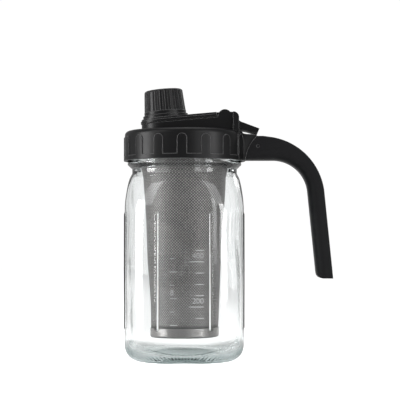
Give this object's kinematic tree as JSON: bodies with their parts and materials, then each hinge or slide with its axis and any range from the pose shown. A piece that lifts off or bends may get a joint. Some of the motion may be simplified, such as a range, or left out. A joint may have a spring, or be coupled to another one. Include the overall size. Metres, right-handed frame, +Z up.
{
  "type": "jar jug",
  "caption": "Wide-mouth glass jar jug with a screw lid, a flip-over capped spout, a side handle and a lift-out steel mesh filter",
  "frame": {"origin": "middle of the ring the jar stands on, on the jar's axis", "axes": "+Z up along the jar's axis, +X towards the handle, +Y to the side, along the hinge pin"},
  "size_m": [0.1559, 0.091, 0.2036],
  "materials": {
    "clear_glass": "clear moulded soda-lime glass with a faint green edge",
    "steel": "plain stainless steel sheet",
    "steel_mesh": "fine woven stainless steel mesh",
    "silicone": "translucent white silicone rubber",
    "black_plastic": "satin black moulded plastic",
    "grip_plastic": "fine-grained black moulded plastic",
    "dark_pin": "black moulded locking pin"
  },
  "bodies": {
    "jar": {"glass_jar": "clear_glass"},
    "filter": {"filter_rim": "steel", "filter_mesh": "steel_mesh", "filter_base": "steel"},
    "gasket": {"lid_gasket": "silicone"},
    "lid": {"lid_collar": "black_plastic", "spout_deck": "black_plastic", "pour_spout": "black_plastic", "handle_bracket": "black_plastic", "handle_grip": "grip_plastic", "handle_back_strip": "grip_plastic", "handle_lock_pin": "dark_pin", "hinge_pin": "steel", "lever_spring": "steel"},
    "arm": {"flip_arm": "black_plastic"},
    "lever": {"thumb_lever": "black_plastic"},
    "seal": {"cap_seal": "silicone"},
    "cap": {"spout_cap": "black_plastic"}
  },
  "joints": [
    {"name": "filter_lift", "type": "slide", "parent": "jar", "child": "filter", "axis": [0, 0, 1], "range_m": [0, 0.155]},
    {"name": "lid_lift", "type": "slide", "parent": "filter", "child": "gasket", "axis": [0, 0, 1], "range_m": [0, 0.12]},
    {"name": "lid_turn", "type": "hinge", "parent": "gasket", "child": "lid", "pos_m": [0, 0, 0.16], "axis": [0, 0, 1], "range_deg": [0, 450]},
    {"name": "arm_flip", "type": "hinge", "parent": "lid", "child": "arm", "pos_m": [0.03, 0, 0.1814], "axis": [0, 1, 0], "range_deg": [0, 120]},
    {"name": "lever_press", "type": "hinge", "parent": "lid", "child": "lever", "pos_m": [0.03, 0, 0.1814], "axis": [0, 1, 0], "range_deg": [0, 2.5], "stiffness_Nm_per_rad": 1, "springref_deg": -2.86},
    {"name": "cap_rise", "type": "slide", "parent": "arm", "child": "seal", "axis": [-0.0872, 0, 0.9962], "range_m": [0, 0.003]},
    {"name": "cap_turn", "type": "hinge", "parent": "seal", "child": "cap", "pos_m": [-0.01383, 0, 0.17757], "axis": [-0.0872, 0, 0.9962], "range_deg": [0, 360]}
  ],
  "couplings": [
    {"joint": "cap_rise", "follows": "cap_turn", "m_per_rad": 0.00047746}
  ]
}
